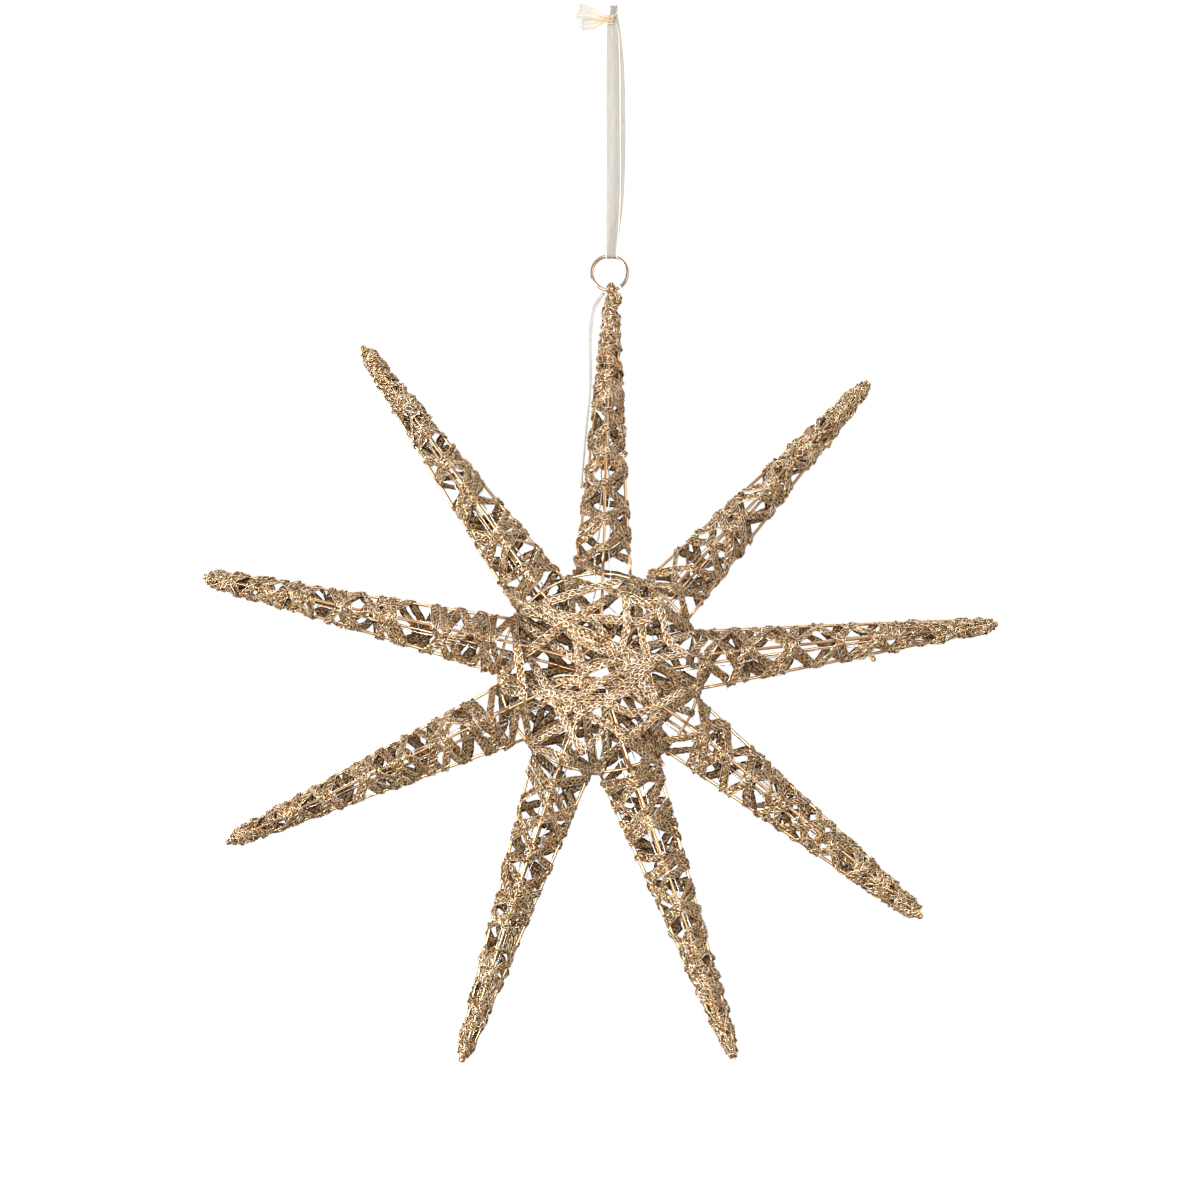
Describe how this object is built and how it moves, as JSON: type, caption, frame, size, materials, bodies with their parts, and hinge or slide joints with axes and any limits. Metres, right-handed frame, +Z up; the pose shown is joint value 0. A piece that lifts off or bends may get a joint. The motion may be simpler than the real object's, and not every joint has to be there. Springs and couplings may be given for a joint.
{
  "type": "wire star ornament",
  "caption": "Many-rayed wire star wound with metallic yarn, with lights inside, a hanging ring and a ribbon loop.",
  "frame": {"origin": "inside top of the ribbon loop, the point that the ornament hangs from", "axes": "+Z up, -Y towards the star's front, +X to the right as seen from the front"},
  "size_m": [0.4962, 0.055, 0.6772],
  "materials": {
    "copper_wire": "bright copper-coloured plating on round wire",
    "champagne_yarn": "metallic champagne plaited tape, glittering",
    "light_wire": "thin silvery wire with clear lamps",
    "clear_wire": "clear plastic sleeve over thin wires",
    "ivory_ribbon": "sheer ivory organza with a bright selvage"
  },
  "bodies": {
    "root": {"hoop": "copper_wire", "front_hub": "copper_wire", "back_hub": "copper_wire", "ray_frame_1": "copper_wire", "ray_frame_2": "copper_wire", "ray_frame_3": "copper_wire", "ray_frame_4": "copper_wire", "ray_frame_5": "copper_wire", "ray_frame_6": "copper_wire", "ray_frame_7": "copper_wire", "ray_frame_8": "copper_wire", "ray_frame_9": "copper_wire", "ray_wrap_1": "champagne_yarn", "ray_wrap_2": "champagne_yarn", "ray_wrap_3": "champagne_yarn", "ray_wrap_4": "champagne_yarn", "ray_wrap_5": "champagne_yarn", "ray_wrap_6": "champagne_yarn", "ray_wrap_7": "champagne_yarn", "ray_wrap_8": "champagne_yarn", "ray_wrap_9": "champagne_yarn", "front_hub_wrap": "champagne_yarn", "back_hub_wrap": "champagne_yarn", "light_string": "light_wire", "lead_wire": "clear_wire", "hanging_ring": "copper_wire", "ring_binding": "champagne_yarn", "ribbon": "ivory_ribbon"}
  },
  "joints": []
}
